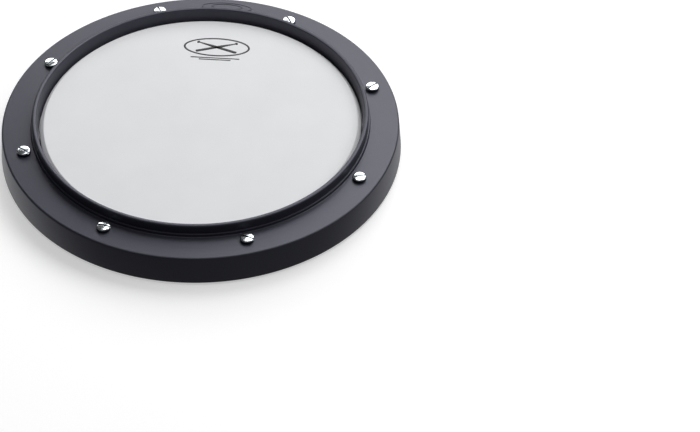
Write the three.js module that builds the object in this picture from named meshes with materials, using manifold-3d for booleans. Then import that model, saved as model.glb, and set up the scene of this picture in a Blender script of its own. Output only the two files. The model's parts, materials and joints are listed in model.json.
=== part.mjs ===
// A tunable practice pad. A moulded base carries a foam disc and, stretched over it, a coated
// drumhead. A moulded rim sits on the drumhead's metal hoop, and eight slotted screws draw the
// rim down to captive nuts in the base, which tightens the head.
// Millimetres, +Z up. The origin is the pad's centre, on the surface that the feet stand on.

import * as THREE from 'three';
import { mergeVertices } from 'three/addons/utils/BufferGeometryUtils.js';
import Module from 'manifold-3d';

// ---- Driving dimensions ----------------------------------------------------------------

const GAP = 0.3;               // clearance between pieces that touch
const RING_STEPS = 72;         // flats around the large rings
const SMALL_STEPS = 16;        // flats around screws, bosses and feet

const SCREW_COUNT = 8;
const FOOT_COUNT = 4;
const RIB_COUNT = 8;

// Rim: skirt, flange and lip in one moulding
const SKIRT_BOTTOM_R = 159.3;
const SKIRT_TOP_R = 157.2;
const SKIRT_BOTTOM_Z = 2.0;
const SKIRT_WALL = 2.8;
const FLANGE_TOP_Z = 25.5;
const FLANGE_THICKNESS = 3.0;
const FLANGE_EDGE_RADIUS = 1.6;
const LIP_OUTER_R = 132.9;
const LIP_INNER_R = 128.3;     // at the head
const LIP_CREST_INNER_R = 129.5;
const LIP_CREST_Z = 35.9;
const LIP_CREST_FALL = 0.5;    // the crest slopes inwards
const LIP_EDGE_RADIUS = 0.8;
const LIP_FOOT_R = 134.0;      // the lip's thicker foot, below a small ledge
const LIP_LEDGE_Z = 28.0;
const LIP_FOOT_FILLET = 0.8;

// Drumhead and its hoop
const HEAD_TOP_Z = 26.9;
const FILM_THICKNESS = 0.4;
const BEARING_ROUND = 4.0;     // radius of the base's bearing edge
const COLLAR_BOTTOM_Z = 18.6;
const HOOP_HEIGHT = 6.9;
const HOOP_WIDTH = 4.6;
const HOOP_TOP_Z = 20.1;

// Base
const BASE_BOTTOM_Z = 3.2;
const BASE_OUTER_R = 153.2;
const FLOOR = 3.0;             // wall thickness of the base's trough and deck
const DECK_BOTTOM_Z = 13.5;
const BASE_LIP_TOP_Z = 13.0;
const BASE_LIP_WALL = 2.2;
const RECESS_R = 122.6;        // hollow under the deck
const RIB_THICKNESS = 2.4;
const RIB_BOTTOM_Z = 4.2;
const FOAM_R = 122.4;

// Screws (12-24 thread, 7/8 in long, slotted pan head), nuts and their bosses
const SCREW_CIRCLE_R = 142.2;
const SHANK_R = 2.74;
const SHANK_LENGTH = 20.5;
const HEAD_R = 5.4;
const HEAD_SIDE = 1.5;
const HEAD_HEIGHT = 3.2;
const SLOT_WIDTH = 1.6;
const SLOT_DEPTH = 1.5;
const SLOT_TURNS_DEG = [47, -61, -61, 60, -30, -8, -16, 21];  // as each screw was left
const THROUGH_HOLE_R = 3.3;
const BOSS_R = 9.0;
const BOSS_TOP_Z = 17.5;
const WEB_TOP_Z = 11.6;
const NUT_ACROSS_FLATS = 11.1;
const NUT_BOTTOM_Z = 7.7;
const NUT_HEIGHT = 4.0;
const NUT_BORE_R = 3.05;

// Stand insert (M8 thread) and its boss
const INSERT_R = 6.0;
const INSERT_BORE_R = 3.4;
const INSERT_LENGTH = 9.1;
const CENTRE_BOSS_R = 12.0;

// Push-in rubber feet
const FOOT_CIRCLE_R = 139.0;
const FOOT_R = 9.0;
const FOOT_BEVEL = 0.8;
const FOOT_STEM_R = 3.2;
const FOOT_BARB_R = 4.1;
const FOOT_BARB_HEIGHT = 2.4;

// ---- Small tools -------------------------------------------------------------------------

const wasm = await Module();
wasm.setup();

const radians = THREE.MathUtils.degToRad;

/** Points of an arc in the (radius, height) plane, from one angle to another in degrees. */
function arc(centreR, centreZ, radius, from, to, steps) {
  return Array.from({ length: steps + 1 }, (_, i) => {
    const angle = radians(from + ((to - from) * i) / steps);
    return [centreR + radius * Math.cos(angle), centreZ + radius * Math.sin(angle)];
  });
}

/** A turned shape: a counter-clockwise profile of [radius, height] points spun about Z. */
function turned(profile, steps) {
  const points = profile.map(([r, z]) => new THREE.Vector2(r, z));
  if (profile[0][0] > 0) points.push(points[0].clone());
  return new THREE.LatheGeometry(points, steps).rotateX(Math.PI / 2);
}

/** A plain cylinder about Z, between two heights. */
function rod(radius, bottom, top, steps = SMALL_STEPS) {
  return turned([[0, bottom], [radius, bottom], [radius, top], [0, top]], steps);
}

/** A flat outline raised from one height to another. */
function raised(shape, bottom, top) {
  const options = { depth: top - bottom, bevelEnabled: false, curveSegments: SMALL_STEPS / 4 };
  return new THREE.ExtrudeGeometry(shape, options).translate(0, 0, bottom);
}

function rectangle(x0, x1, width) {
  const half = width / 2;
  const corners = [[x0, -half], [x1, -half], [x1, half], [x0, half]];
  return new THREE.Shape(corners.map(([x, y]) => new THREE.Vector2(x, y)));
}

function hexagon(acrossFlats) {
  const radius = acrossFlats / 2 / Math.cos(Math.PI / 6);
  const corners = Array.from({ length: 6 }, (_, i) => (i * Math.PI) / 3);
  return new THREE.Shape(
    corners.map((a) => new THREE.Vector2(radius * Math.cos(a), radius * Math.sin(a))),
  );
}

/** A manifold solid from a closed geometry, without the slivers that a lathe leaves at its poles. */
function solid(geometry) {
  geometry.deleteAttribute('normal');
  geometry.deleteAttribute('uv');
  const merged = mergeVertices(geometry, 1e-4);
  const triVerts = [];
  for (let i = 0; i < merged.index.count; i += 3) {
    const [a, b, c] = merged.index.array.subarray(i, i + 3);
    if (a !== b && b !== c && c !== a) triVerts.push(a, b, c);
  }
  return new wasm.Manifold(new wasm.Mesh({
    numProp: 3,
    vertProperties: merged.attributes.position.array,
    triVerts: Uint32Array.from(triVerts),
  }));
}

/** A geometry from a manifold solid. */
function surface(body) {
  const { vertProperties, triVerts } = body.getMesh();
  const geometry = new THREE.BufferGeometry();
  geometry.setAttribute('position', new THREE.BufferAttribute(vertProperties, 3));
  geometry.setIndex(new THREE.BufferAttribute(triVerts, 1));
  geometry.computeVertexNormals();
  return geometry;
}

function named(name, body, material) {
  const mesh = new THREE.Mesh(surface(body), material);
  mesh.name = name;
  return mesh;
}

/** The angles of evenly spaced stations, the first one half or none of a step from +X. */
function stations(count, offset = 0) {
  return Array.from({ length: count }, (_, i) => ((i + offset) * 2 * Math.PI) / count);
}

/** A geometry made at the centre, moved out to a radius and turned to an angle. */
function stationed(geometry, radius, angle) {
  return geometry.translate(radius, 0, 0).rotateZ(angle);
}

const SCREW_ANGLES = stations(SCREW_COUNT, 0.5);
const FOOT_ANGLES = stations(FOOT_COUNT);

// ---- Materials ---------------------------------------------------------------------------

function finish(color, roughness, metalness) {
  return new THREE.MeshStandardMaterial({ color, roughness, metalness });
}

const greyPlastic = finish(0x5c5f66, 0.45, 0);
const darkPlastic = finish(0x3c3e43, 0.6, 0);
const coatedFilm = finish(0xdedfe1, 0.85, 0);
const greyFoam = finish(0x55565a, 0.95, 0);
const blackRubber = finish(0x1c1c1e, 0.8, 0);
const nickel = finish(0xd8d9da, 0.2, 1);
const zincSteel = finish(0xaeb0b2, 0.35, 1);
const aluminium = finish(0xc2c4c6, 0.35, 1);
const brass = finish(0xb8975a, 0.35, 1);

// ---- Sub-parts ---------------------------------------------------------------------------

/** Skirt, flange and lip. The lip's lower edge presses on the hoop. */
function rim() {
  const lipBottom = HOOP_TOP_Z + GAP;
  const flangeBottom = FLANGE_TOP_Z - FLANGE_THICKNESS;
  const crestInnerZ = LIP_CREST_Z - LIP_CREST_FALL;
  const profile = [
    [SKIRT_BOTTOM_R - SKIRT_WALL, SKIRT_BOTTOM_Z],
    [SKIRT_BOTTOM_R, SKIRT_BOTTOM_Z],
    ...arc(SKIRT_TOP_R - FLANGE_EDGE_RADIUS, FLANGE_TOP_Z - FLANGE_EDGE_RADIUS,
      FLANGE_EDGE_RADIUS, 0, 90, 3),
    ...arc(LIP_FOOT_R + LIP_FOOT_FILLET, FLANGE_TOP_Z + LIP_FOOT_FILLET,
      LIP_FOOT_FILLET, 270, 180, 2),
    [LIP_FOOT_R, LIP_LEDGE_Z],
    [LIP_OUTER_R, LIP_LEDGE_Z],
    ...arc(LIP_OUTER_R - LIP_EDGE_RADIUS, LIP_CREST_Z - LIP_EDGE_RADIUS,
      LIP_EDGE_RADIUS, 0, 90, 2),
    [LIP_CREST_INNER_R + LIP_EDGE_RADIUS, crestInnerZ + LIP_EDGE_RADIUS / 4],
    [LIP_CREST_INNER_R, crestInnerZ - LIP_EDGE_RADIUS / 2],
    [LIP_INNER_R, HEAD_TOP_Z],
    [LIP_INNER_R, lipBottom],
    [LIP_OUTER_R - LIP_EDGE_RADIUS, lipBottom],
    [LIP_OUTER_R + LIP_EDGE_RADIUS, flangeBottom],
    [SKIRT_TOP_R - SKIRT_WALL, flangeBottom],
  ];
  let body = solid(turned(profile, RING_STEPS));
  for (const angle of SCREW_ANGLES) {
    const hole = rod(THROUGH_HOLE_R, flangeBottom - 1, FLANGE_TOP_Z + 1);
    body = body.subtract(solid(stationed(hole, SCREW_CIRCLE_R, angle)));
  }
  return named('rim', body, greyPlastic);
}

const bearingOuterR = LIP_INNER_R - 0.9 - FILM_THICKNESS - GAP;
const bearingTopZ = HEAD_TOP_Z - FILM_THICKNESS - GAP;
const bearingCentreR = bearingOuterR - BEARING_ROUND;
const bearingCentreZ = bearingTopZ - BEARING_ROUND;
const bearingInnerR = FOAM_R + GAP;

/** The base's section: ribbed deck, bearing edge, trough and outer stiffening lip. */
function baseProfile() {
  const troughZ = BASE_BOTTOM_Z + FLOOR;
  const socketR = INSERT_R + GAP;
  const socketTop = BASE_BOTTOM_Z + INSERT_LENGTH + GAP;
  return [
    [0, socketTop],
    [socketR, socketTop],
    [socketR, BASE_BOTTOM_Z],
    [CENTRE_BOSS_R, BASE_BOTTOM_Z],
    [CENTRE_BOSS_R, DECK_BOTTOM_Z],
    [RECESS_R, DECK_BOTTOM_Z],
    [RECESS_R, BASE_BOTTOM_Z],
    [BASE_OUTER_R, BASE_BOTTOM_Z],
    [BASE_OUTER_R, BASE_LIP_TOP_Z],
    [BASE_OUTER_R - BASE_LIP_WALL, BASE_LIP_TOP_Z],
    [BASE_OUTER_R - BASE_LIP_WALL, troughZ],
    [bearingOuterR, troughZ],
    ...arc(bearingCentreR, bearingCentreZ, BEARING_ROUND, 0, 90, 4),
    [bearingInnerR, bearingTopZ - GAP],
    [bearingInnerR, DECK_BOTTOM_Z + FLOOR],
    [0, DECK_BOTTOM_Z + FLOOR],
  ];
}

/** Ribs under the deck, from the centre boss to the recess wall. */
function deckRibs() {
  return stations(RIB_COUNT).map((angle) => {
    const rib = raised(rectangle(CENTRE_BOSS_R - 1, RECESS_R + 1, RIB_THICKNESS),
      RIB_BOTTOM_Z, DECK_BOTTOM_Z + 1);
    return solid(rib.rotateZ(angle));
  });
}

/** One screw boss and the web that ties it to the bearing wall and the outer lip. */
function bossAndWeb(angle) {
  const floorZ = BASE_BOTTOM_Z + FLOOR / 2;
  const boss = solid(stationed(rod(BOSS_R, floorZ, BOSS_TOP_Z), SCREW_CIRCLE_R, angle));
  const web = raised(rectangle(bearingOuterR - 1, BASE_OUTER_R - 1, RIB_THICKNESS),
    floorZ, WEB_TOP_Z);
  return boss.add(solid(web.rotateZ(angle)));
}

/** What a boss loses: a hexagonal pocket for the nut, open below, and the screw's hole. */
function nutPocket(angle) {
  const ceiling = NUT_BOTTOM_Z + NUT_HEIGHT + GAP;
  const pocket = raised(hexagon(NUT_ACROSS_FLATS + 2 * GAP), BASE_BOTTOM_Z - 1, ceiling);
  const hole = rod(THROUGH_HOLE_R, ceiling - 1, BOSS_TOP_Z + 1);
  return solid(stationed(pocket, SCREW_CIRCLE_R, angle))
    .add(solid(stationed(hole, SCREW_CIRCLE_R, angle)));
}

function basePan() {
  let body = solid(turned(baseProfile(), RING_STEPS));
  for (const rib of deckRibs()) body = body.add(rib);
  for (const angle of SCREW_ANGLES) body = body.add(bossAndWeb(angle)).subtract(nutPocket(angle));
  for (const angle of FOOT_ANGLES) {
    const hole = rod(FOOT_STEM_R + GAP, BASE_BOTTOM_Z - 1, BASE_BOTTOM_Z + FLOOR + 1);
    body = body.subtract(solid(stationed(hole, FOOT_CIRCLE_R, angle)));
  }
  return named('base_pan', body, darkPlastic);
}

function foamDisc() {
  const bottom = DECK_BOTTOM_Z + FLOOR + GAP;
  const top = HEAD_TOP_Z - FILM_THICKNESS - GAP;
  return named('foam_disc', solid(rod(FOAM_R, bottom, top, RING_STEPS)), greyFoam);
}

/** The film lies flat over the foam, rolls over the bearing edge and ends in a collar. */
function drumhead() {
  const innerRound = BEARING_ROUND + GAP;
  const outerRound = innerRound + FILM_THICKNESS;
  const profile = [
    [0, HEAD_TOP_Z - FILM_THICKNESS],
    ...arc(bearingCentreR, bearingCentreZ, innerRound, 90, 0, 4),
    [bearingCentreR + innerRound, COLLAR_BOTTOM_Z],
    [bearingCentreR + outerRound, COLLAR_BOTTOM_Z],
    ...arc(bearingCentreR, bearingCentreZ, outerRound, 0, 90, 4),
    [0, HEAD_TOP_Z],
  ];
  return named('drumhead', solid(turned(profile, RING_STEPS)), coatedFilm);
}

/** The metal hoop that holds the film's edge. */
function fleshHoop() {
  const inner = LIP_INNER_R - GAP;
  const profile = [
    [inner, HOOP_TOP_Z - HOOP_HEIGHT],
    [inner + HOOP_WIDTH, HOOP_TOP_Z - HOOP_HEIGHT],
    [inner + HOOP_WIDTH, HOOP_TOP_Z],
    [inner, HOOP_TOP_Z],
  ];
  return named('flesh_hoop', solid(turned(profile, RING_STEPS)), aluminium);
}

/** A slotted pan-head screw, standing on the flange. */
function tensionScrew(angle, slotTurn, number) {
  const seat = FLANGE_TOP_Z + GAP;
  const tip = seat - SHANK_LENGTH;
  const tipBevel = 0.8;
  const profile = [
    [0, tip],
    [SHANK_R - tipBevel, tip],
    [SHANK_R, tip + tipBevel],
    [SHANK_R, seat],
    [HEAD_R, seat],
    [HEAD_R, seat + HEAD_SIDE],
    [HEAD_R * 0.87, seat + HEAD_HEIGHT * 0.76],
    [HEAD_R * 0.55, seat + HEAD_HEIGHT * 0.94],
    [0, seat + HEAD_HEIGHT],
  ];
  const slotBottom = seat + HEAD_HEIGHT - SLOT_DEPTH;
  const slot = raised(rectangle(-HEAD_R - 1, HEAD_R + 1, SLOT_WIDTH), slotBottom, seat + HEAD_HEIGHT + 1);
  const body = solid(turned(profile, SMALL_STEPS)).subtract(solid(slot.rotateZ(radians(slotTurn))));
  const mesh = named(`tension_screw_${number}`, body, nickel);
  mesh.position.set(SCREW_CIRCLE_R * Math.cos(angle), SCREW_CIRCLE_R * Math.sin(angle), 0);
  return mesh;
}

function tensionNut(angle, number) {
  const outline = hexagon(NUT_ACROSS_FLATS);
  outline.holes.push(new THREE.Path().absarc(0, 0, NUT_BORE_R, 0, 2 * Math.PI, true));
  const nut = raised(outline, NUT_BOTTOM_Z, NUT_BOTTOM_Z + NUT_HEIGHT);
  const body = solid(stationed(nut, SCREW_CIRCLE_R, angle));
  return named(`tension_nut_${number}`, body, zincSteel);
}

function standInsert() {
  const top = BASE_BOTTOM_Z + INSERT_LENGTH;
  const profile = [
    [INSERT_BORE_R, BASE_BOTTOM_Z],
    [INSERT_R, BASE_BOTTOM_Z],
    [INSERT_R, top],
    [INSERT_BORE_R, top],
  ];
  return named('stand_insert', solid(turned(profile, 2 * SMALL_STEPS)), brass);
}

/** A rubber foot whose barbed stem snaps through the base's floor. */
function foot(angle, number) {
  const padTop = BASE_BOTTOM_Z - GAP;
  const barbBottom = BASE_BOTTOM_Z + FLOOR + GAP;
  const profile = [
    [0, 0],
    [FOOT_R - FOOT_BEVEL, 0],
    [FOOT_R, FOOT_BEVEL],
    [FOOT_R, padTop],
    [FOOT_STEM_R, padTop],
    [FOOT_STEM_R, barbBottom],
    [FOOT_BARB_R, barbBottom + 0.3],
    [FOOT_STEM_R - 0.8, barbBottom + FOOT_BARB_HEIGHT],
    [0, barbBottom + FOOT_BARB_HEIGHT],
  ];
  const body = solid(stationed(turned(profile, SMALL_STEPS), FOOT_CIRCLE_R, angle));
  return named(`foot_${number}`, body, blackRubber);
}

// ---- Assembly ----------------------------------------------------------------------------

const pad = new THREE.Group();
pad.add(basePan(), foamDisc(), drumhead(), standInsert());
FOOT_ANGLES.forEach((angle, i) => pad.add(foot(angle, i + 1)));
SCREW_ANGLES.forEach((angle, i) => pad.add(tensionNut(angle, i + 1)));

const tuningRim = new THREE.Group();
tuningRim.add(rim(), fleshHoop());
SCREW_ANGLES.forEach((angle, i) => tuningRim.add(tensionScrew(angle, SLOT_TURNS_DEG[i], i + 1)));
pad.add(tuningRim);

export default pad;
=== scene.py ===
# %% [markdown]
# # A tunable practice pad
#
# A practice pad lets a drummer work quietly. A coated drumhead lies on a disc of foam. A
# moulded rim stands on the drumhead's metal hoop, and eight slotted screws draw the rim down
# to nuts in the base, so that the head is tuned as on a drum.
#
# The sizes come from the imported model. Each shape below is a surface worked out as whole
# arrays: a section spun about the pad's axis, or a band carried along a path.

# %% Load the frame
import json
import math

import bmesh
import bpy
import numpy as np
from mathutils import Matrix, Vector

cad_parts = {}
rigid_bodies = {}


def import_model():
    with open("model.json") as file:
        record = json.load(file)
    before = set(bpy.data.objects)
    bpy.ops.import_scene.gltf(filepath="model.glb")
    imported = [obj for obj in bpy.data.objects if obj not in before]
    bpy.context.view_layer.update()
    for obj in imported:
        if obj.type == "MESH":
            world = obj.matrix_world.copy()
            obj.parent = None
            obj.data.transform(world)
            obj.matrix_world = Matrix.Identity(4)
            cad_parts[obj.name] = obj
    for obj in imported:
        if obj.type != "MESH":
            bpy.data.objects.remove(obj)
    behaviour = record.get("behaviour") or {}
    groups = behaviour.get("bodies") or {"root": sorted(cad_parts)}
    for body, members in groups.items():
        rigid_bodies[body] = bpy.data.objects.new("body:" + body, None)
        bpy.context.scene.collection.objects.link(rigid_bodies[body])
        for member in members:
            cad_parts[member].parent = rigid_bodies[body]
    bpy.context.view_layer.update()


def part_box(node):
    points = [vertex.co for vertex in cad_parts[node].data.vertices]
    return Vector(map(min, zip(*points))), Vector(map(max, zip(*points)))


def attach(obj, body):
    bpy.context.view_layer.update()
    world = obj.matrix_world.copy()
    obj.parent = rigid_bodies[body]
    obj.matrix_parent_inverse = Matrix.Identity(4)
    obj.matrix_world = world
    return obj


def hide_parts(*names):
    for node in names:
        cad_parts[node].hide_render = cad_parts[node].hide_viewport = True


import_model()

# %% [markdown]
# ## Camera
#
# The pad is seen from the player's side and a little from the right, from about forty degrees
# up. A long lens keeps the circles close to true ellipses. The camera looks past the pad's
# right side, so the pad stands in the upper left of the view.

# %% Camera
CAMERA_DISTANCE = 1.7911
CAMERA_AZIMUTH = 10.11
CAMERA_ELEVATION = 41.48
CAMERA_AIM = Vector((0.1284, -0.0962, 0.025))
CAMERA_ROLL = 1.07
CAMERA_LENS = 114.6


def towards(azimuth, elevation):
    """A unit vector from the pad's centre: azimuth 0 is the player's side, 90 the right."""
    a, e = math.radians(azimuth), math.radians(elevation)
    return Vector((math.sin(a) * math.cos(e), -math.cos(a) * math.cos(e), math.sin(e)))


camera = bpy.data.objects.new("camera", bpy.data.cameras.new("camera"))
bpy.context.collection.objects.link(camera)
camera.data.lens = CAMERA_LENS
camera.location = towards(CAMERA_AZIMUTH, CAMERA_ELEVATION) * CAMERA_DISTANCE
sight = CAMERA_AIM - camera.location
level = sight.to_track_quat("-Z", "Y").to_matrix()
camera.rotation_euler = (level @ Matrix.Rotation(math.radians(CAMERA_ROLL), 3, "Z")).to_euler()
bpy.context.scene.camera = camera
print("camera at", [round(v, 3) for v in camera.location])

# %% [markdown]
# ## Light
#
# Soft lights stand all round the far side, as a studio lights a dark, glossy thing on white.
# A large one high behind the pad makes the flange and the head even, and gives the polished
# screws something bright to reflect. A wide, low one at the back lights the lip's crest, a
# small one lifts the right side, and a weak one overhead keeps the lip's shadow off the head.
# The sky is dim, but from below it has the brightness of a lit white table, most of all at the
# back, which the skirt's sides reflect.

# %% Helpers for colours and nodes
def linear(hex_colour):
    """An sRGB hex colour as linear RGBA: c / 12.92 when dark, else ((c + 0.055) / 1.055)^2.4."""
    parts = [int(hex_colour[i : i + 2], 16) / 255 for i in (1, 3, 5)]
    return [c / 12.92 if c <= 0.04045 else ((c + 0.055) / 1.055) ** 2.4 for c in parts] + [1]


def add_node(tree, kind, inputs=None, **settings):
    """Adds a node. inputs gives each named or numbered socket a value or an output to link."""
    node = tree.nodes.new("ShaderNode" + kind)
    for key, value in settings.items():
        setattr(node, key, value)
    for key, value in (inputs or {}).items():
        if isinstance(value, bpy.types.NodeSocket):
            tree.links.new(value, node.inputs[key])
        else:
            node.inputs[key].default_value = value
    return node


print("mid grey #808080 is", round(linear("#808080")[0], 3), "in linear light")

# %% World
scene = bpy.context.scene
scene.view_settings.view_transform = "Standard"
world = bpy.data.worlds.new("studio")
scene.world = world
world.use_nodes = True
studio = world.node_tree
studio.nodes.clear()
heading = add_node(studio, "SeparateXYZ", {0: add_node(studio, "TexCoord").outputs["Generated"]})
print("looks are set in the", scene.view_settings.view_transform, "view transform")

# %% Glow from below
TABLE_GLOW = 0.95
below = add_node(studio, "MapRange", {"Value": heading.outputs["Z"], "From Min": -0.3,
                                      "From Max": -0.08, "To Min": TABLE_GLOW, "To Max": 0.0},
                 interpolation_type="SMOOTHSTEP")
leftward = add_node(studio, "Math", {0: heading.outputs["X"], 1: -0.25, 2: heading.outputs["Y"]},
                    operation="MULTIPLY_ADD")
behind = add_node(studio, "MapRange", {"Value": leftward.outputs[0], "From Min": -0.3,
                                       "From Max": 0.45, "To Min": 0.15},
                  interpolation_type="SMOOTHSTEP")
print(f"the table glows at {TABLE_GLOW} behind the pad")

# %% Sky
SKY_FILL = 0.07
SKY_SEEN = 0.93
table = add_node(studio, "Math", {0: below.outputs[0], 1: behind.outputs[0], 2: SKY_FILL},
                 operation="MULTIPLY_ADD")
fill = add_node(studio, "Background", {"Color": linear("#f4f5f7"), "Strength": table.outputs[0]})
pale = add_node(studio, "Background", {"Color": linear("#ffffff"), "Strength": SKY_SEEN})
seen = add_node(studio, "LightPath")
sky = add_node(studio, "MixShader",
               {0: seen.outputs["Is Camera Ray"], 1: fill.outputs[0], 2: pale.outputs[0]})
add_node(studio, "OutputWorld", {"Surface": sky.outputs[0]})
print(f"sky {SKY_FILL} on the pad, {SKY_SEEN} as seen behind it")


# %% Lights
def area_light(name, azimuth, elevation, distance, width, height, radiance):
    """A soft light that faces the pad. Its power is radiance x pi x width x height."""
    light = bpy.data.objects.new(name, bpy.data.lights.new(name, "AREA"))
    bpy.context.collection.objects.link(light)
    light.data.shape = "RECTANGLE"
    light.data.size = width
    light.data.size_y = height
    light.data.energy = radiance * math.pi * width * height
    light.location = towards(azimuth, elevation) * distance
    light.rotation_euler = (-light.location).to_track_quat("-Z", "Y").to_euler()
    return light


area_light("key", azimuth=158, elevation=55, distance=2.6, width=1.7, height=1.5, radiance=4.7)
area_light("backdrop", azimuth=180, elevation=29, distance=2.4, width=2.8, height=0.9, radiance=3.1)
area_light("right side", azimuth=95, elevation=40, distance=2.4, width=1.2, height=1.2, radiance=2.6)
area_light("top", azimuth=350, elevation=82, distance=2.6, width=1.5, height=1.5, radiance=1.1)
for lamp in (o for o in scene.objects if o.type == "LIGHT"):
    print(f"{lamp.name}: {lamp.data.energy:.0f} W")

# %% Floor
FLOOR_HALF = 6.0
floor_mesh = bpy.data.meshes.new("floor")
floor_mesh.from_pydata([(-FLOOR_HALF, -FLOOR_HALF, 0), (FLOOR_HALF, -FLOOR_HALF, 0),
                        (FLOOR_HALF, FLOOR_HALF, 0), (-FLOOR_HALF, FLOOR_HALF, 0)], [], [(0, 1, 2, 3)])
floor = bpy.data.objects.new("floor", floor_mesh)
bpy.context.collection.objects.link(floor)
floor.visible_diffuse = False
floor.visible_glossy = False
paper = bpy.data.materials.new("white seamless paper")
paper.use_nodes = True
paper_shader = paper.node_tree.nodes["Principled BSDF"]
paper_shader.inputs["Base Color"].default_value = linear("#dcdcdc")
paper_shader.inputs["Roughness"].default_value = 1.0
paper_shader.inputs["Specular IOR Level"].default_value = 0.0
paper_shader.inputs["Emission Color"].default_value = linear("#ffffff")
paper_shader.inputs["Emission Strength"].default_value = 0.45
floor_mesh.materials.append(paper)
print(f"{paper.name}: {2 * FLOOR_HALF:.0f} m square")

# %% [markdown]
# ## Tools for the shapes
#
# Nearly every piece of the pad is turned: a section in the plane of radius and height, spun
# about the axis. Real mouldings have no sharp corners, so a section is given by its corners
# and a fillet radius at each, and the fillets become arcs. Pieces that aren't turned, such as
# ribs and printed lines, are bands: a flat path given a width and a height.

# %% Sections with fillets
MM = 0.001


def rounded(corners, arc_steps=7):
    """A closed section from (radius, height, fillet) corners, anti-clockwise, in millimetres.

    The fillet's centre lies on the corner's bisector at fillet / sin(half the angle), and its
    arc runs between the two points at fillet / tan(half the angle) along the corner's sides.
    """
    points = []
    for i, (r, z, fillet) in enumerate(corners):
        corner = np.array([r, z])
        if fillet == 0:
            points.append(corner[None])
            continue
        back = np.array(corners[i - 1][:2]) - corner
        ahead = np.array(corners[(i + 1) % len(corners)][:2]) - corner
        back, ahead = back / np.linalg.norm(back), ahead / np.linalg.norm(ahead)
        half = math.acos(np.clip(back @ ahead, -1, 1)) / 2
        bisector = (back + ahead) / np.linalg.norm(back + ahead)
        centre = corner + bisector * fillet / math.sin(half)
        start = corner + back * fillet / math.tan(half) - centre
        end = corner + ahead * fillet / math.tan(half) - centre
        sweep = math.atan2(start[0] * end[1] - start[1] * end[0], start @ end)
        turn = np.linspace(0, sweep, arc_steps + 1)[:, None]
        side = np.array([-start[1], start[0]])
        points.append(centre + start * np.cos(turn) + side * np.sin(turn))
    return np.vstack(points)


def arc(centre_r, centre_z, radius, from_deg, to_deg, steps):
    """Points of an arc: (centre_r + radius cos a, centre_z + radius sin a)."""
    a = np.radians(np.linspace(from_deg, to_deg, steps + 1))
    return np.stack([centre_r + radius * np.cos(a), centre_z + radius * np.sin(a)], 1)


def plug(radius, bottom, top):
    """The section of a plain cylinder between two heights."""
    return np.array([[0, bottom], [radius, bottom], [radius, top], [0, top]], float)


square = rounded([(1, 0, 1), (9, 0, 1), (9, 8, 1), (1, 8, 1)])
print("a square with four fillets has", len(square), "points")


# %% Grids
def grid_faces(rows, columns, wrap_rows):
    """Quads between neighbouring rows and columns of a grid that closes on itself across."""
    last = rows if wrap_rows else rows - 1
    i, j = np.meshgrid(np.arange(last), np.arange(columns), indexing="ij")
    up, across = (i + 1) % rows, (j + 1) % columns
    corners = [i * columns + j, i * columns + across, up * columns + across, up * columns + j]
    return np.stack(corners, -1).reshape(-1, 4)


print("a grid of 3 by 4 that closes both ways has", len(grid_faces(3, 4, True)), "faces")

# %% Meshes from grids
DOUBLES_MM = 0.0001


def cleaned(mesh, distance):
    """Merges points closer than a distance in metres and drops the faces left with no area."""
    bm = bmesh.new()
    bm.from_mesh(mesh)
    bmesh.ops.remove_doubles(bm, verts=bm.verts, dist=distance)
    bmesh.ops.dissolve_degenerate(bm, edges=bm.edges, dist=distance)
    bm.to_mesh(mesh)
    bm.free()


def mesh_object(name, points_mm, quads):
    """An object whose mesh holds the points, in metres, and the quads, with doubles merged."""
    mesh = bpy.data.meshes.new(name)
    mesh.vertices.add(len(points_mm))
    mesh.vertices.foreach_set("co", (points_mm * MM).astype(np.float32).ravel())
    mesh.loops.add(quads.size)
    mesh.loops.foreach_set("vertex_index", quads.astype(np.int32).ravel())
    mesh.polygons.add(len(quads))
    mesh.polygons.foreach_set("loop_start", np.arange(0, quads.size, 4, dtype=np.int32))
    mesh.update(calc_edges=True)
    cleaned(mesh, DOUBLES_MM * MM)
    obj = bpy.data.objects.new(name, mesh)
    bpy.context.collection.objects.link(obj)
    return obj


# %% Turned shapes
def around(steps):
    """Equal angles around a circle, in radians."""
    return np.linspace(0, 2 * math.pi, steps, endpoint=False)


def spun(name, r, z, steps, wrap_rows):
    """Rows of radius r and height z, given all round or once: (r cos a, r sin a, z) at each a."""
    a = around(steps)
    points = np.stack([r * np.cos(a), r * np.sin(a), z + 0 * a], -1).reshape(-1, 3)
    return mesh_object(name, points, grid_faces(len(r), steps, wrap_rows))


def turned(name, section, steps):
    """A section of (radius, height) points spun about Z.

    A section that starts on the axis ends on it too, and its poles are merged. Any other
    section closes on itself.
    """
    on_axis = section[0, 0] < 1e-9
    return spun(name, section[:, :1], section[:, 1:], steps, not on_axis)


print("a quarter turn in four steps:", around(16)[:5].round(2))

# %% Placing and copying
def polar(circle, angle_deg):
    """A point at an angle on a circle in the ground plane."""
    a = math.radians(angle_deg)
    return circle * math.cos(a), circle * math.sin(a), 0


def moved(obj, turn_deg=0.0, offset_mm=(0, 0, 0)):
    """Turns a piece's mesh about Z and then moves it. The object itself stays at the origin."""
    turn = Matrix.Rotation(math.radians(turn_deg), 4, "Z")
    obj.data.transform(Matrix.Translation(Vector(offset_mm) * MM) @ turn)
    return obj


def copy_of(obj, name):
    """A separate piece with its own copy of the mesh."""
    made = bpy.data.objects.new(name, obj.data.copy())
    bpy.context.collection.objects.link(made)
    return made


print("a point on a 100 mm circle at 30 degrees:", [round(v, 1) for v in polar(100, 30)])


# %% Joining and cutting
CUT_DOUBLES_MM = 0.002


def joined(name, objects):
    """One object that holds the meshes of several, which are removed."""
    bm = bmesh.new()
    for obj in objects:
        bm.from_mesh(obj.data)
        bpy.data.objects.remove(obj)
    mesh = bpy.data.meshes.new(name)
    bm.to_mesh(mesh)
    bm.free()
    made = bpy.data.objects.new(name, mesh)
    bpy.context.collection.objects.link(made)
    return made


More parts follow.
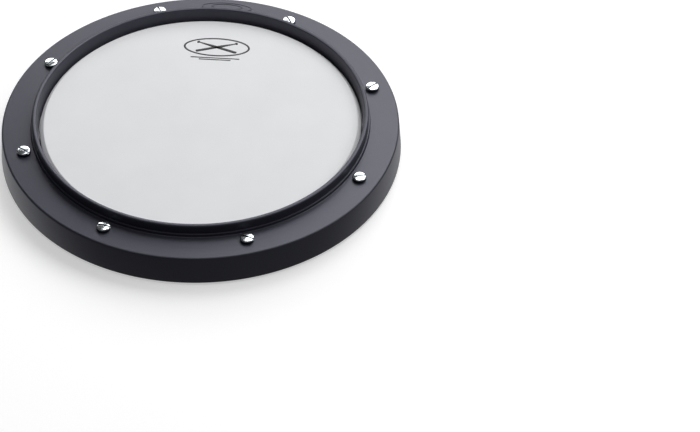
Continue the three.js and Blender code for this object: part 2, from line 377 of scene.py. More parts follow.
def applied(obj):
    """Keeps what the piece's modifiers make of its mesh, and drops the modifiers."""
    evaluated = obj.evaluated_get(bpy.context.evaluated_depsgraph_get())
    mesh = bpy.data.meshes.new_from_object(evaluated)
    obj.modifiers.clear()
    obj.data = mesh
    return obj


def combined(obj, tool, operation):
    """The piece joined with a tool, or cut by it. The tool is removed."""
    boolean = obj.modifiers.new(operation.lower(), "BOOLEAN")
    boolean.object = tool
    boolean.operation = operation
    boolean.solver = "EXACT"
    boolean.use_self = operation == "UNION"
    applied(obj)
    cleaned(obj.data, CUT_DOUBLES_MM * MM)
    bpy.data.objects.remove(tool)
    return obj


def drilled(obj, angles, circle, hole_section, steps=48):
    """A piece cut by the same turned tool at each angle of a circle.

    The tools are turned by half a step, so that no corner of theirs lies on an edge of the
    piece: such a cut would leave faces with no area.
    """
    half_step = 180 / steps
    tools = [moved(turned("tool", hole_section, steps), a + half_step, polar(circle, a))
             for a in angles]
    return combined(obj, joined("tools", tools), "DIFFERENCE")


print("after a cut, points closer than", CUT_DOUBLES_MM, "mm are merged")

# %% Shading
SHARP_DEG = 32


def smooth(obj, sharp_deg=SHARP_DEG):
    """Smooth shading, with edges sharper than an angle left crisp."""
    obj.data.shade_smooth()
    obj.data.set_sharp_from_angle(angle=math.radians(sharp_deg))
    return obj


print("edges sharper than", SHARP_DEG, "degrees stay crisp")


# %% Bands
def band(name, path_mm, half_width, bottom, top, closed=False):
    """A flat path of (x, y) points given a width and a height.

    The band's sides lie at path + n w and path - n w, where n is the path's unit normal and w
    the half width there. Its four long edges make a rectangular section, and an open band's
    ends are closed by running the section down to its own middle.
    """
    path = np.asarray(path_mm, float)
    width = np.broadcast_to(half_width, len(path)).astype(float)[:, None]
    if closed:
        along = np.roll(path, -1, 0) - np.roll(path, 1, 0)
    else:
        along = np.gradient(path, axis=0)
    along /= np.linalg.norm(along, axis=1, keepdims=True)
    normal = np.stack([-along[:, 1], along[:, 0]], 1)
    left, right = path + normal * width, path - normal * width
    low, high = np.full((len(path), 1), bottom), np.full((len(path), 1), top)
    edges = [np.hstack([right, low]), np.hstack([right, high]),
             np.hstack([left, high]), np.hstack([left, low])]
    rows = np.stack(edges, 1)
    if not closed:
        rows = np.concatenate([np.repeat(rows[:1].mean(1, keepdims=True), 4, 1), rows,
                               np.repeat(rows[-1:].mean(1, keepdims=True), 4, 1)])
    obj = mesh_object(name, rows.reshape(-1, 3), grid_faces(len(rows), 4, closed))
    bm = bmesh.new()
    bm.from_mesh(obj.data)
    bmesh.ops.recalc_face_normals(bm, faces=bm.faces)
    bm.to_mesh(obj.data)
    bm.free()
    return obj


# %% Handing a piece to the frame
def place_piece(obj, body, slot, material, *nodes):
    """Gives a finished piece its material, the body it rides on, and the nodes it stands for."""
    obj.data.materials.clear()
    obj.data.materials.append(material)
    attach(obj, body)
    if nodes:
        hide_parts(*nodes)
    triangles = sum(len(p.vertices) - 2 for p in obj.data.polygons)
    print(f"{obj.name}: {triangles} triangles on {body}")


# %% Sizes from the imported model
def box_mm(node):
    """A node's lowest and highest corners in millimetres."""
    return [np.array(corner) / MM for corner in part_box(node)]


rim_low, rim_high = box_mm("rim")
head_low, head_high = box_mm("drumhead")
hoop_low, hoop_high = box_mm("flesh_hoop")
foam_low, foam_high = box_mm("foam_disc")
base_low, base_high = box_mm("base_pan")
insert_low, insert_high = box_mm("stand_insert")
foot_low, foot_high = box_mm("foot_1")
nut_low, nut_high = box_mm("tension_nut_1")
screw_low, screw_high = box_mm("tension_screw_1")

SCREWS = 8
FEET = 4
screw_centre = (screw_low + screw_high) / 2
screw_circle = float(np.hypot(screw_centre[0], screw_centre[1]))
screw_angles = [(i + 0.5) * 360 / SCREWS for i in range(SCREWS)]
foot_circle = float((foot_low[0] + foot_high[0]) / 2)
foot_angles = [i * 360 / FEET for i in range(FEET)]
RING_STEPS = 480
print(f"rim {2 * rim_high[0]:.1f} mm across, screws on a {2 * screw_circle:.1f} mm circle")

# %% [markdown]
# ## Finish: moulded ABS
#
# The rim and the base are injection-moulded ABS, a tough, slightly glossy plastic. The mould
# is spark-eroded, which leaves a fine, even grain that breaks the gloss into a satin. The real
# grain is about a tenth of a millimetre, too fine to show, so it is drawn at half a
# millimetre. A slow, faint mottle stands for the flow of the plastic in the mould. The rim's
# plastic is a cool blue-grey, so its gloss is tinted a little towards violet as well.

# %% A new material
def new_material(name):
    """A material with one Principled shader, its tree, the shader and coordinates in metres."""
    material = bpy.data.materials.new(name)
    material.use_nodes = True
    tree = material.node_tree
    tree.nodes.clear()
    shader = add_node(tree, "BsdfPrincipled")
    add_node(tree, "OutputMaterial", {"Surface": shader.outputs["BSDF"]})
    place = add_node(tree, "TexCoord").outputs["Object"]
    return material, tree, shader, place


def per_mm(size_mm):
    """A texture scale whose features are about this many millimetres across."""
    return 1 / (size_mm * MM)


print("a half-millimetre grain has the scale", per_mm(0.5))

# %% Moulded ABS
ABS_IOR = 1.53
MOTTLE_MM = 28


def moulded_plastic(name, dark, light, gloss_tint, roughness, grain_mm, grain_depth_mm):
    """Two near shades mixed by a slow mottle, with a bump from the spark-eroded grain."""
    material, tree, shader, place = new_material(name)
    mottle = add_node(tree, "TexNoise", {"Vector": place, "Scale": per_mm(MOTTLE_MM), "Detail": 3.0})
    grain = add_node(tree, "TexNoise", {"Vector": place, "Scale": per_mm(grain_mm), "Detail": 2.0,
                                        "Roughness": 0.6})
    blend = add_node(tree, "Math", {0: mottle.outputs[0], 1: grain.outputs[0]}, operation="ADD")
    shade = add_node(tree, "MapRange", {"Value": blend.outputs[0], "From Min": 0.7, "From Max": 1.3})
    colour = add_node(tree, "Mix", {0: shade.outputs[0], "A": linear(dark), "B": linear(light)},
                      data_type="RGBA")
    gloss = add_node(tree, "MapRange", {"Value": grain.outputs[0], "From Min": 0.3, "From Max": 0.7,
                                        "To Min": roughness - 0.05, "To Max": roughness + 0.05})
    bump = add_node(tree, "Bump", {"Height": grain.outputs[0], "Strength": 0.6,
                                   "Distance": grain_depth_mm * MM})
    tree.links.new(colour.outputs["Result"], shader.inputs["Base Color"])
    tree.links.new(gloss.outputs[0], shader.inputs["Roughness"])
    tree.links.new(bump.outputs[0], shader.inputs["Normal"])
    shader.inputs["IOR"].default_value = ABS_IOR
    shader.inputs["Specular Tint"].default_value = linear(gloss_tint)
    return material


rim_abs = moulded_plastic("moulded ABS, blue-grey", "#2f303a", "#34353f", "#eeedff", 0.42, 0.5, 0.03)
base_abs = moulded_plastic("moulded ABS, dark grey", "#3a3b40", "#414247", "#ffffff", 0.5, 0.6, 0.04)
print(f"{rim_abs.name} and {base_abs.name}: IOR {ABS_IOR}")

# %% [markdown]
# ## Rim
#
# The rim is one moulding: a tapered skirt that hides the base, a flat flange that carries the
# screws, and a raised lip around the head. A small ledge runs around the lip's foot. The same
# shape could be built from stacked cylinders, but a single section spun about the axis has
# every fillet true and no seams. The screw holes are cut through the flange afterwards.

# %% Rim section
SKIRT_WALL = 2.8
SKIRT_TOP_R = 157.2
FLANGE_Z = 25.5
FLANGE_THICKNESS = 3.0
LIP_R = 132.9
LIP_FOOT_R = 134.0
LEDGE_Z = 28.0
CREST_INNER_R = 129.5
CREST_FALL = 0.5
WELL_R = 128.3
flange_under = FLANGE_Z - FLANGE_THICKNESS
lip_bottom = hoop_high[2] + 0.3
rim_section = rounded([
    (rim_high[0] - SKIRT_WALL, rim_low[2], 0.5),
    (rim_high[0], rim_low[2], 0.6),
    (SKIRT_TOP_R, FLANGE_Z, 1.6),
    (LIP_FOOT_R, FLANGE_Z, 0.9),
    (LIP_FOOT_R, LEDGE_Z, 0.35),
    (LIP_R, LEDGE_Z, 0.3),
    (LIP_R, rim_high[2], 1.4),
    (CREST_INNER_R, rim_high[2] - CREST_FALL, 0.9),
    (WELL_R, head_high[2], 4.0),
    (WELL_R, lip_bottom, 0.4),
    (LIP_R - 0.8, lip_bottom, 0.4),
    (LIP_FOOT_R, flange_under, 0.9),
    (SKIRT_TOP_R - SKIRT_WALL, flange_under, 1.6),
])
print(f"lip {rim_high[2] - FLANGE_Z:.1f} mm above the flange, {len(rim_section)} points in the section")

# %% Rim
HOLE_R = 3.3
rim = turned("rim_moulding", rim_section, RING_STEPS)
rim = drilled(rim, screw_angles, screw_circle, plug(HOLE_R, flange_under - 1, FLANGE_Z + 1))
place_piece(smooth(rim), "rim", "rim_plastic", rim_abs, "rim")

# %% [markdown]
# ## Finish: coated drumhead film
#
# The head is clear polyester film with a sprayed matt coating, which gives it its pale grey
# and its slight tooth. The spray lands as fine droplets, about half a millimetre across, which
# scatter the light, so the head looks even and has no clear reflection.

# %% Coated polyester film
FILM_IOR = 1.5
FILM_ROUGHNESS = 0.72
film, tree, shader, place = new_material("coated polyester film")
droplets = add_node(tree, "TexNoise", {"Vector": place, "Scale": per_mm(0.6), "Detail": 3.0,
                                       "Roughness": 0.65})
clouds = add_node(tree, "TexNoise", {"Vector": place, "Scale": per_mm(35), "Detail": 2.0})
shade = add_node(tree, "MapRange", {"Value": clouds.outputs[0], "From Min": 0.3, "From Max": 0.7})
coat = add_node(tree, "Mix", {0: shade.outputs[0], "A": linear("#e6e7e9"), "B": linear("#e9eaec")},
                data_type="RGBA")
tooth = add_node(tree, "Bump", {"Height": droplets.outputs[0], "Strength": 0.5,
                                "Distance": 0.03 * MM})
tree.links.new(coat.outputs["Result"], shader.inputs["Base Color"])
tree.links.new(tooth.outputs[0], shader.inputs["Normal"])
shader.inputs["Roughness"].default_value = FILM_ROUGHNESS
shader.inputs["IOR"].default_value = FILM_IOR
print(f"{film.name}: IOR {FILM_IOR}, roughness {FILM_ROUGHNESS}")

# %% [markdown]
# ## Drumhead
#
# The film lies flat on the foam. Past the foam it bends over the base's bearing edge, which is
# cut at 45 degrees as on a drum shell, and then runs down as a collar to its hoop. The slope
# faces away from the light on the left, where it shows as an even grey band beside the lip.

# %% Drumhead section
FILM = 0.4
HEAD_FLAT_R = 124.3
head_r, head_top = float(head_high[0]), float(head_high[2])
slope_foot = head_top - (head_r - HEAD_FLAT_R)
inset = FILM * math.tan(math.radians(22.5))
flat_end = HEAD_FLAT_R - 1.9
flat_radii = np.linspace(0, HEAD_FLAT_R - 2, 12)[:, None]
head_section = np.vstack([
    np.hstack([flat_radii, np.full_like(flat_radii, head_top - FILM)]),
    rounded([
        (flat_end, head_top - FILM, 0),
        (HEAD_FLAT_R - inset, head_top - FILM, 0.8),
        (head_r - FILM, slope_foot - inset, 1.1),
        (head_r - FILM, head_low[2], 0),
        (head_r, head_low[2], 0),
        (head_r, slope_foot, 1.5),
        (HEAD_FLAT_R, head_top, 1.2),
        (flat_end, head_top, 0),
    ]),
    np.hstack([flat_radii[::-1], np.full_like(flat_radii, head_top)]),
])
print(f"the film bends down at {HEAD_FLAT_R:.1f} mm and reaches its collar at {slope_foot:.1f} mm up")

# %% Drumhead
head = turned("coated_drumhead", head_section, RING_STEPS)
place_piece(smooth(head), "base", "coated_film", film, "drumhead")

# %% [markdown]
# ## Finish: plated and plain metals
#
# The tension screws are steel with a bright nickel plate. The plate follows the fine marks
# that the heading and polishing left, so the gloss is a little uneven. The slot and the head's
# lower edge get painted shade: the plate's colour is darkened there. The nuts have a duller,
# bluish zinc plate, the hoop is rolled aluminium with a soft grey shine, and the stand insert
# is turned brass, warm and brighter. Metals keep the shader's own IOR: their colour comes from
# the base colour.

# %% Plated and plain metals
def metal(name, colour, roughness, unevenness, mark_mm, mark_depth_mm):
    """A metal whose gloss and surface vary with marks of one size."""
    material, tree, shader, place = new_material(name)
    marks = add_node(tree, "TexNoise", {"Vector": place, "Scale": per_mm(mark_mm), "Detail": 3.0})
    gloss = add_node(tree, "MapRange", {"Value": marks.outputs[0], "From Min": 0.3, "From Max": 0.7,
                                        "To Min": roughness - unevenness,
                                        "To Max": roughness + unevenness})
    bump = add_node(tree, "Bump", {"Height": marks.outputs[0], "Strength": 0.5,
                                   "Distance": mark_depth_mm * MM})
    tree.links.new(gloss.outputs[0], shader.inputs["Roughness"])
    tree.links.new(bump.outputs[0], shader.inputs["Normal"])
    shader.inputs["Base Color"].default_value = linear(colour)
    shader.inputs["Metallic"].default_value = 1.0
    return material, tree, shader, place


POLISHED_NICKEL = "#dde3e6"
zinc = metal("zinc-plated steel", "#b9bdc3", 0.34, 0.06, 1.5, 0.02)[0]
aluminium = metal("rolled aluminium", "#c9cbcd", 0.36, 0.05, 2.0, 0.02)[0]
brass = metal("turned brass", "#c2a162", 0.28, 0.06, 1.0, 0.01)[0]
nickel, tree, shader, place = metal("nickel-plated steel", POLISHED_NICKEL, 0.16, 0.05, 1.2, 0.01)
print("metals:", ", ".join(m.name for m in (zinc, aluminium, brass, nickel)))

# %% Painted shade below the crown
SCREW_HEAD_HEIGHT = 3.2
SHADE_ENDS_ABOVE = 1.5, 2.3
PAINTED_SHADE_NICKEL = "#55585c"
seat_z = float(screw_high[2]) - SCREW_HEAD_HEIGHT
# Painted shade: below these heights above the seat the nickel colour fades to a dark one, which shades
# the slot's floor and the head's lower side.
height = add_node(tree, "SeparateXYZ", {0: place}).outputs["Z"]
painted_shade_mask = add_node(tree, "MapRange", {"Value": height, "From Min": (seat_z + SHADE_ENDS_ABOVE[0]) * MM,
                                     "From Max": (seat_z + SHADE_ENDS_ABOVE[1]) * MM})
plate = add_node(tree, "Mix", {0: painted_shade_mask.outputs[0], "A": linear(PAINTED_SHADE_NICKEL),
                               "B": linear(POLISHED_NICKEL)}, data_type="RGBA")
tree.links.new(plate.outputs["Result"], shader.inputs["Base Color"])
print(f"unshaded from {seat_z + SHADE_ENDS_ABOVE[1]:.1f} mm up, on heads that sit at {seat_z:.1f} mm")

# %% [markdown]
# ## Tension screws
#
# Each screw is a 12-24 machine screw with a slotted pan head. The thread could be a boolean of
# a helix, but it is simpler as a surface: the shank's radius falls and rises with the phase
# height / pitch - turn, which is a helix by definition. The slot is cut afterwards, and its
# edges get a fine bevel, because a real slot is never razor-sharp.

# %% Thread
PITCH = 25.4 / 24


def thread_wave(heights, angles, pitch):
    """A triangle wave from 0 at a crest to 1 at a root, along the phase height / pitch - turn."""
    phase = heights / pitch - angles / (2 * math.pi)
    return 1 - 2 * np.abs(phase - np.floor(phase) - 0.5)


print("one pitch, in quarters:", thread_wave(np.linspace(0, PITCH, 5), 0.0, PITCH).round(2))

# %% Screw head
SCREW_HEAD_R = 5.4
SCREW_CROWN = 0.45


def screw_head_section():
    """From the shank's top out along the seat, up the rolled side and in over a low crown.

    The crown's height falls from the middle as the square of radius / head radius.
    """
    edge = 1.0
    crown_r = np.linspace(SCREW_HEAD_R - edge, 0, 9)
    crown_z = SCREW_HEAD_HEIGHT - SCREW_CROWN * (crown_r / SCREW_HEAD_R) ** 2
    side_top = crown_z[0] - edge
    return np.vstack([
        [[SCREW_HEAD_R - 0.15, 0]],
        arc(SCREW_HEAD_R - 0.15, 0.15, 0.15, -60, 0, 2),
        arc(SCREW_HEAD_R - edge, side_top, edge, 0, 80, 7),
        np.stack([crown_r[1:], crown_z[1:]], 1),
    ])


print(f"screw head {2 * SCREW_HEAD_R:.1f} mm across, {len(screw_head_section())} points in its section")

# %% Screw
SHANK_R = 2.74
THREAD_DEPTH = 0.6
SCREW_STEPS = 48
SLOT_WIDTH = 1.6
SLOT_DEPTH = 1.5
SLOT_EDGE = 0.1
tip_z = float(screw_low[2])


def screw_master():
    """A screw at the centre: rows of radius and height, the shank's radius waved by the thread.

    The thread grows out of a plain tip over one pitch and fades into the seat over another.
    """
    a = around(SCREW_STEPS)
    shank_z = np.linspace(tip_z, seat_z, 190)[:, None]
    start = np.clip((shank_z - tip_z) / PITCH, 0, 1)
    runout = np.clip((seat_z - shank_z) / PITCH, 0, 1)
    depth = THREAD_DEPTH * thread_wave(shank_z, a, PITCH) * runout
    shank_r = SHANK_R - np.maximum(depth, THREAD_DEPTH * (1 - start))
    tip = np.array([[0, tip_z], [SHANK_R - THREAD_DEPTH - 0.5, tip_z]])
    head_rows = screw_head_section() + [0, seat_z]
    r = np.vstack([tip[:, :1] + 0 * a, shank_r, head_rows[:, :1] + 0 * a])
    z = np.vstack([tip[:, 1:], shank_z, head_rows[:, 1:]])
    screw = spun("screw_master", r, z, SCREW_STEPS, False)
    top = float(screw_high[2])
    reach = SCREW_HEAD_R + 1
    slot = band("slot", [(-reach, 0), (reach, 0)], SLOT_WIDTH / 2, top - SLOT_DEPTH, top + 1)
    combined(screw, slot, "DIFFERENCE")
    edge = screw.modifiers.new("worn edge", "BEVEL")
    edge.width = SLOT_EDGE * MM
    edge.segments = 2
    edge.angle_limit = math.radians(50)
    return smooth(applied(screw), 40)


print(f"{(seat_z - tip_z) / PITCH:.0f} turns of thread between {tip_z:.1f} and {seat_z:.1f} mm")

# %% Eight screws
SLOT_TURNS = (47, -61, -61, 60, -30, -8, -16, 21)
master = screw_master()
for i, (angle, slot_turn) in enumerate(zip(screw_angles, SLOT_TURNS), 1):
    screw = moved(copy_of(master, f"slotted_screw_{i}"), slot_turn, polar(screw_circle, angle))
    place_piece(screw, f"screw_{i}", "nickel", nickel, f"tension_screw_{i}")
bpy.data.objects.remove(master)

# %% [markdown]
# ## Captive nuts
#
# Each nut is a hexagon whose corners are turned off by a cone, top and bottom. Both facts fit
# one formula: the radius at an angle is the smaller of the hexagon's and the cone's.

# %% Nut
NUT_AF = 11.1
NUT_BORE = 3.02
NUT_THREAD = 0.35
NUT_MOUTH = 0.5
NUT_CORNER = 1.0
NUT_CONE_SLOPE = 1.5
NUT_STEPS = 72


def nut_master():
    """Rows up the outside at min(hexagon, cone), then down a waved bore.

    The hexagon's radius is half the width across flats / cos(angle from the flat's middle). The
    cone's radius grows with the distance from the nearer face. The bore opens at both mouths.
    """
    a = around(NUT_STEPS)
    bottom, top = float(nut_low[2]), float(nut_high[2])
    hexagon = NUT_AF / 2 / np.cos((a + math.pi / 6) % (math.pi / 3) - math.pi / 6)
    outside_z = np.concatenate([np.linspace(bottom, bottom + NUT_CORNER, 6),
                                np.linspace(top - NUT_CORNER, top, 6)])[:, None]
    from_face = np.minimum(outside_z - bottom, top - outside_z)
    outside_r = np.minimum(hexagon, NUT_AF / 2 - 0.15 + from_face * NUT_CONE_SLOPE)
    bore_z = np.linspace(top, bottom, 44)[:, None]
    mouth = np.clip(1 - np.minimum(top - bore_z, bore_z - bottom) / NUT_MOUTH, 0, 1)
    bore_r = NUT_BORE + NUT_THREAD * np.maximum(mouth, thread_wave(bore_z, a, PITCH))
    r, z = np.vstack([outside_r, bore_r]), np.vstack([outside_z, bore_z])
    return smooth(spun("nut_master", r, z, NUT_STEPS, True), 25)


print(f"nut {nut_high[2] - nut_low[2]:.1f} mm high and {NUT_AF} mm across its flats")

# %% Eight nuts
master = nut_master()
for i, angle in enumerate(screw_angles, 1):
    nut = moved(copy_of(master, f"hex_nut_{i}"), angle, polar(screw_circle, angle))
    place_piece(nut, "base", "zinc", zinc, f"tension_nut_{i}")
bpy.data.objects.remove(master)

# %% [markdown]
# ## Hoop
#
# Inside the rim, the film's edge is glued into a channel rolled from aluminium strip. Its open
# side faces up, and the rim's lip presses on the channel's two walls. The channel could be bent
# from a flat strip, but its section is known, so it is turned like the rim.

# %% Hoop
HOOP_WALL = 1.0
HOOP_INNER_R = 128.0
CHANNEL_FLOOR = 2.2
hoop_outer_r = float(hoop_high[0])
channel_z = hoop_low[2] + CHANNEL_FLOOR
hoop_section = rounded([
    (HOOP_INNER_R, hoop_low[2], 0.6),
    (hoop_outer_r, hoop_low[2], 0.6),
    (hoop_outer_r, hoop_high[2], 0.2),
    (hoop_outer_r - HOOP_WALL, hoop_high[2], 0.2),
    (hoop_outer_r - HOOP_WALL, channel_z, 0.3),
    (HOOP_INNER_R + HOOP_WALL, channel_z, 0.3),
    (HOOP_INNER_R + HOOP_WALL, hoop_high[2], 0.2),
    (HOOP_INNER_R, hoop_high[2], 0.2),
], 3)
hoop = turned("channel_hoop", hoop_section, RING_STEPS // 2)
place_piece(smooth(hoop), "rim", "hoop_aluminium", aluminium, "flesh_hoop")

# %% [markdown]
# ## Foam
#
# The foam is polyurethane cut from sheet, with open cells about a millimetre across, which
# make it dull and dark. It is inside the pad and has no seams, so it is a plain disc with
# softened edges. A cell pattern in the material sinks each cell's middle and paints shade there.

# %% Open-cell foam
foam_material, tree, shader, place = new_material("open-cell polyurethane foam")
cells = add_node(tree, "TexVoronoi", {"Vector": place, "Scale": per_mm(1.0)})
# Painted shade: on the foam's own dark grey, the colour darkens towards each cell's middle, where the
# bump sinks a pit.
pore_shade_mask = add_node(tree, "MapRange", {"Value": cells.outputs["Distance"], "From Max": 0.7})
shades = add_node(tree, "Mix", {0: pore_shade_mask.outputs[0], "A": linear("#3f4043"), "B": linear("#5e5f63")},
                  data_type="RGBA")
pores = add_node(tree, "Bump", {"Height": cells.outputs["Distance"], "Strength": 0.8,
                                "Distance": 0.4 * MM})
tree.links.new(shades.outputs["Result"], shader.inputs["Base Color"])
tree.links.new(pores.outputs[0], shader.inputs["Normal"])
shader.inputs["Roughness"].default_value = 1.0
shader.inputs["Specular IOR Level"].default_value = 0.2
print(f"{foam_material.name}: {foam_high[2] - foam_low[2]:.1f} mm thick")

# %% Foam disc
FOAM_EDGE = 1.2
foam_r = float(foam_high[0])
foam_section = np.vstack([
    [[0, foam_low[2]]],
    arc(foam_r - FOAM_EDGE, foam_low[2] + FOAM_EDGE, FOAM_EDGE, -90, 0, 5),
    arc(foam_r - FOAM_EDGE, foam_high[2] - FOAM_EDGE, FOAM_EDGE, 0, 90, 5),
    [[0, foam_high[2]]],
])
foam = turned("foam_cushion", foam_section, RING_STEPS // 2)
place_piece(smooth(foam), "base", "foam", foam_material, "foam_disc")

# %% [markdown]
# ## Base
#
# The base is the second moulding. Its deck carries the foam, its bearing edge, cut at 45
# degrees, carries the film, and its trough holds the screw bosses. Ribs under the deck keep it
# flat without making it thick. The turned part comes first; the ribs and bosses join it, and
# the holes and the hexagonal nut pockets are cut last, as the mould's own pins would leave them.

# %% Base section
DECK_BOTTOM = 13.5
BASE_WALL = 3.0
LIP_WALL = 2.2
LIP_TOP = 13.0
RECESS_R = 122.6
BEARING_R = 126.7
BEARING_INNER_R = 122.7
BEARING_Z = 26.2
CENTRE_BOSS_R = 12.0
SOCKET_R = 6.3
base_r = float(base_high[0])
base_z = float(base_low[2])
trough_z = base_z + BASE_WALL
deck_top = DECK_BOTTOM + BASE_WALL
socket_top = insert_high[2] + 0.3
# Along the bevel, radius + height stays the same, and the film's thickness lies outside it.
bevel_sum = HEAD_FLAT_R + head_top - (head_top - BEARING_Z) * math.sqrt(2)
base_section = np.vstack([
    [[0, socket_top]],
    rounded([
        (SOCKET_R, socket_top, 0.2),
        (SOCKET_R, base_z, 0.5),
        (CENTRE_BOSS_R, base_z, 0.8),
        (CENTRE_BOSS_R, DECK_BOTTOM, 1.5),
        (RECESS_R, DECK_BOTTOM, 1.5),
        (RECESS_R, base_z, 0.8),
        (base_r, base_z, 0.8),
        (base_r, LIP_TOP, 0.6),
        (base_r - LIP_WALL, LIP_TOP, 0.6),
        (base_r - LIP_WALL, trough_z, 1.0),
        (BEARING_R, trough_z, 1.0),
        (BEARING_R, bevel_sum - BEARING_R, 1.2),
        (bevel_sum - BEARING_Z, BEARING_Z, 0.8),
        (BEARING_INNER_R, BEARING_Z, 0.2),
        (BEARING_INNER_R, deck_top, 0.2),
    ], 5),
    [[0, deck_top]],
])
base = turned("base_moulding", base_section, RING_STEPS // 2)
print(f"deck at {deck_top:.1f} mm, bearing edge at {BEARING_Z:.1f} mm, trough at {trough_z:.1f} mm")


# %% Ribs, bosses and webs
BOSS_R = 9.0
BOSS_TOP = 17.5
WEB_TOP = 11.6
RIB_BOTTOM = 4.2
RIB_WALL = 2.4
RIBS = 8


def spoke(name, angle_deg, inner, outer, half_width, bottom, top):
    """A straight wall along a radius."""
    return band(name, [polar(inner, angle_deg)[:2], polar(outer, angle_deg)[:2]],
                half_width, bottom, top)


overlap = 1.0
added = []
for i in range(RIBS):
    added.append(spoke("rib", i * 360 / RIBS, CENTRE_BOSS_R - 1.5, RECESS_R + overlap,
                       RIB_WALL / 2, RIB_BOTTOM, DECK_BOTTOM + overlap))
boss_section = rounded([(0, trough_z - overlap, 0), (BOSS_R, trough_z - overlap, 0),
                        (BOSS_R, BOSS_TOP, 0.8), (0, BOSS_TOP, 0)], 5)
for angle in screw_angles:
    added.append(moved(turned("boss", boss_section, 48), 0, polar(screw_circle, angle)))
    added.append(spoke("web", angle, BEARING_R - overlap, base_r - overlap, RIB_WALL / 2,
                       trough_z - overlap, WEB_TOP))
combined(base, joined("added", added), "UNION")
print(f"{RIBS} ribs and {len(screw_angles)} bosses: {len(base.data.polygons)} faces")

# %% Nut pockets and holes
NUT_POCKET_AF = 11.7
STEM_HOLE_R = 3.5
pocket_top = float(nut_high[2]) + 0.3
hexagon_r = NUT_POCKET_AF / 2 / math.cos(math.pi / 6)
taken = []
for angle in screw_angles:
    pocket = turned("pocket", plug(hexagon_r, base_z - 1, pocket_top), 6)
    taken.append(moved(pocket, angle, polar(screw_circle, angle)))
combined(base, joined("pockets", taken), "DIFFERENCE")
drilled(base, screw_angles, screw_circle, plug(HOLE_R, pocket_top - 1, BOSS_TOP + 1), 32)
drilled(base, foot_angles, foot_circle, plug(STEM_HOLE_R, base_z - 1, trough_z + 1), 32)
place_piece(smooth(base), "base", "base_plastic", base_abs, "base_pan")

# %% [markdown]
# ## Stand insert
#
# The brass insert takes a stand's M8 thread. It is knurled outside, so that it can't turn in
# the plastic, and threaded inside.

# %% Insert
M8_PITCH = 1.25
INSERT_BORE = 3.4
INSERT_THREAD = 0.6
INSERT_MOUTH = 0.7
KNURL = 0.2
INSERT_STEPS = 96


def insert_piece():
    """Rows up a knurled outside and down a threaded bore. Every other column is sunk a little."""
    a = around(INSERT_STEPS)
    bottom, top = float(insert_low[2]), float(insert_high[2])
    outer = float(insert_high[0])
    out_z = np.array([bottom, bottom + 0.4, bottom + 1.6, bottom + 1.8, top - 0.4, top])[:, None]
    chamfer = np.array([0.3, 0, 0, 0.25, 0.25, 0.5])[:, None]
    knurled = np.array([0, 0, 0, 1, 1, 0])[:, None]
    knurl = KNURL * (np.arange(INSERT_STEPS) % 2) * knurled
    out_r = outer - chamfer - knurl
    bore_z = np.linspace(top, bottom, 70)[:, None]
    mouth = np.clip(1 - (bore_z - bottom) / INSERT_MOUTH, 0, 1)
    bore_r = INSERT_BORE + INSERT_THREAD * np.maximum(mouth, thread_wave(bore_z, a, M8_PITCH))
    r, z = np.vstack([out_r, bore_r]), np.vstack([out_z, bore_z])
    return spun("threaded_insert", r, z, INSERT_STEPS, True)


place_piece(smooth(insert_piece(), 30), "base", "insert_brass", brass, "stand_insert")

# %% [markdown]
# ## Rubber feet
#
# The feet are moulded rubber with a barbed stem that snaps through the base. Rubber is dull,
# nearly black, and faintly stippled so that it grips.

# %% Moulded rubber
RUBBER_ROUGHNESS = 0.72
rubber, tree, shader, place = new_material("moulded black rubber")
stipple = add_node(tree, "TexVoronoi", {"Vector": place, "Scale": per_mm(0.8)})
dust = add_node(tree, "TexNoise", {"Vector": place, "Scale": per_mm(6), "Detail": 3.0})
shades = add_node(tree, "Mix", {0: dust.outputs[0], "A": linear("#18181a"), "B": linear("#252527")},
                  data_type="RGBA")
dimples = add_node(tree, "Bump", {"Height": stipple.outputs["Distance"], "Strength": 0.6,
                                  "Distance": 0.05 * MM})
tree.links.new(shades.outputs["Result"], shader.inputs["Base Color"])
tree.links.new(dimples.outputs[0], shader.inputs["Normal"])
shader.inputs["Roughness"].default_value = RUBBER_ROUGHNESS
print(f"{rubber.name}: roughness {RUBBER_ROUGHNESS}")

# %% Feet
STEM_R = 3.2
BARB_R = 4.1
BARB_TIP_R = 2.4
foot_r = (foot_high[0] - foot_low[0]) / 2
pad_top = base_z - 0.3
foot_top = float(foot_high[2])
foot_section = rounded([
    (0, 0, 0),
    (foot_r, 0, 0.9),
    (foot_r, pad_top, 0.4),
    (STEM_R, pad_top, 0.2),
    (STEM_R, trough_z + 0.3, 0.1),
    (BARB_R, trough_z + 0.5, 0.2),
    (BARB_TIP_R, foot_top, 0.4),
    (0, foot_top, 0),
], 5)
for i, angle in enumerate(foot_angles, 1):
    foot = moved(turned(f"rubber_foot_{i}", foot_section, 72), 0, polar(foot_circle, angle))
    place_piece(smooth(foot), "base", "foot_rubber", rubber, f"foot_{i}")

# %% [markdown]
# ## Printed mark
#
# A small mark is screen-printed near the head's far edge, as on most drumheads. It is a plain
# drawing: two crossed drumsticks in a thin oval, with a double rule below. Printed ink stands a
# few hundredths of a millimetre proud, so each line is a thin closed band on the film. The ink
# is matt and nearly black, a little thinner in places where the screen let less through.

# %% Screen-printed ink
INK_ROUGHNESS = 0.6
ink, tree, shader, place = new_material("screen-printed ink")
cover = add_node(tree, "TexNoise", {"Vector": place, "Scale": per_mm(1.5), "Detail": 2.0})
shades = add_node(tree, "Mix", {0: cover.outputs[0], "A": linear("#2b2c2d"), "B": linear("#3a3b3c")},
                  data_type="RGBA")
tree.links.new(shades.outputs["Result"], shader.inputs["Base Color"])
shader.inputs["Roughness"].default_value = INK_ROUGHNESS
print(f"{ink.name}: roughness {INK_ROUGHNESS}")

# %% Outlines of the mark
def oval(half_x, half_y, steps=96):
    """Points (half_x cos t, half_y sin t) around an ellipse."""
    t = around(steps)
    return np.stack([half_x * np.cos(t), half_y * np.sin(t)], 1)


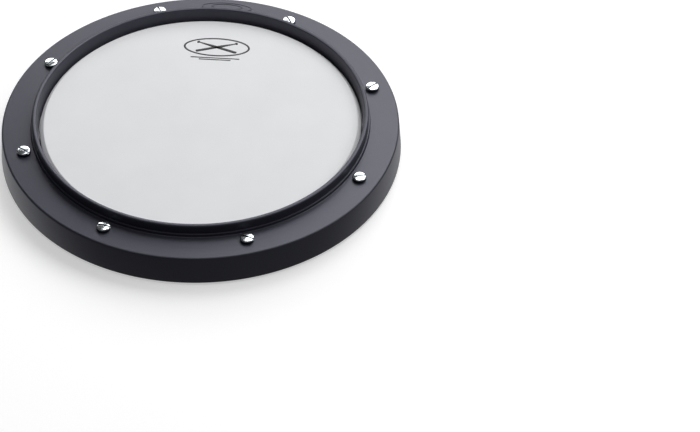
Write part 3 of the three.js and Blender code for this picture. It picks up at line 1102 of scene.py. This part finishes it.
def drumstick(length, lean_deg):
    """A stick's line and half widths along it, for s from 0 at the butt to 1 at the bead.

    The shaft's half width is 1.35 and tapers by 0.75 from s = 0.62 to 0.92. The bead is an
    ellipse about s = 0.965, and the butt is rounded over the first fiftieth.
    """
    s = np.linspace(0, 1, 60)
    shaft = 1.35 - 0.75 * np.clip((s - 0.62) / 0.3, 0, 1)
    bead = np.sqrt(np.clip(1 - ((s - 0.965) / 0.035) ** 2, 0, 1)) * 1.5
    butt = np.sqrt(np.clip(1 - ((0.02 - s) / 0.02) ** 2, 0, 1)) * (s < 0.02) + (s >= 0.02)
    width = np.maximum(np.where(s < 0.95, shaft, 0.03) * butt, bead) + 0.02
    lean = math.radians(lean_deg)
    x = (s - 0.5) * length
    return np.stack([x * math.cos(lean), x * math.sin(lean)], 1), width


print(f"a stick's bead is {2 * drumstick(36, 0)[1][-8:].max():.1f} mm wide")

# %% Printed mark
MARK_CENTRE = (-0.5, 90.5)
MARK_TURN = 1.8
MARK_HALF = (26.5, 11.0)
LINE_HALF = 0.8
RULE_HALF = 0.6
STICK_LENGTH = 36
ink_low, ink_high = head_high[2] - 0.02, head_high[2] + 0.03
lines = [band("oval", oval(*MARK_HALF), LINE_HALF, ink_low, ink_high, closed=True)]
for lean in (20, 160):
    stick, width = drumstick(STICK_LENGTH, lean)
    lines.append(band("stick", stick, width, ink_low, ink_high))
for drop, half_length in ((14.0, 20.0), (16.2, 13.0)):
    rule = [(-half_length, -drop), (half_length, -drop)]
    lines.append(band("rule", rule, RULE_HALF, ink_low, ink_high))
mark = moved(joined("printed_mark", lines), MARK_TURN, (*MARK_CENTRE, 0))
place_piece(mark, "base", "coated_film", ink)

# %% [markdown]
# ## Raised oval on the rim
#
# The mould leaves a faint raised emblem on the flange behind the head. Here it is a plain oval
# that follows the flange's curve, with a smaller one inside.

# %% Rim emblem
EMBLEM_R = 147.0
EMBLEM_HALF = (21.0, 4.6)
EMBLEM_LINE_HALF = 0.4
raised = (FLANGE_Z - 0.1, FLANGE_Z + 0.25)


def on_flange(points):
    """Bends a flat outline round the flange: x becomes an arc length, y a step in radius."""
    turn = math.pi / 2 - points[:, 0] / EMBLEM_R
    radius = EMBLEM_R + points[:, 1]
    return np.stack([radius * np.cos(turn), radius * np.sin(turn)], 1)


rings = [band("ring", on_flange(oval(EMBLEM_HALF[0] * k, EMBLEM_HALF[1] * k)), EMBLEM_LINE_HALF,
              *raised, closed=True) for k in (1.0, 0.62)]
place_piece(smooth(joined("rim_emblem", rings)), "rim", "rim_plastic", rim_abs)
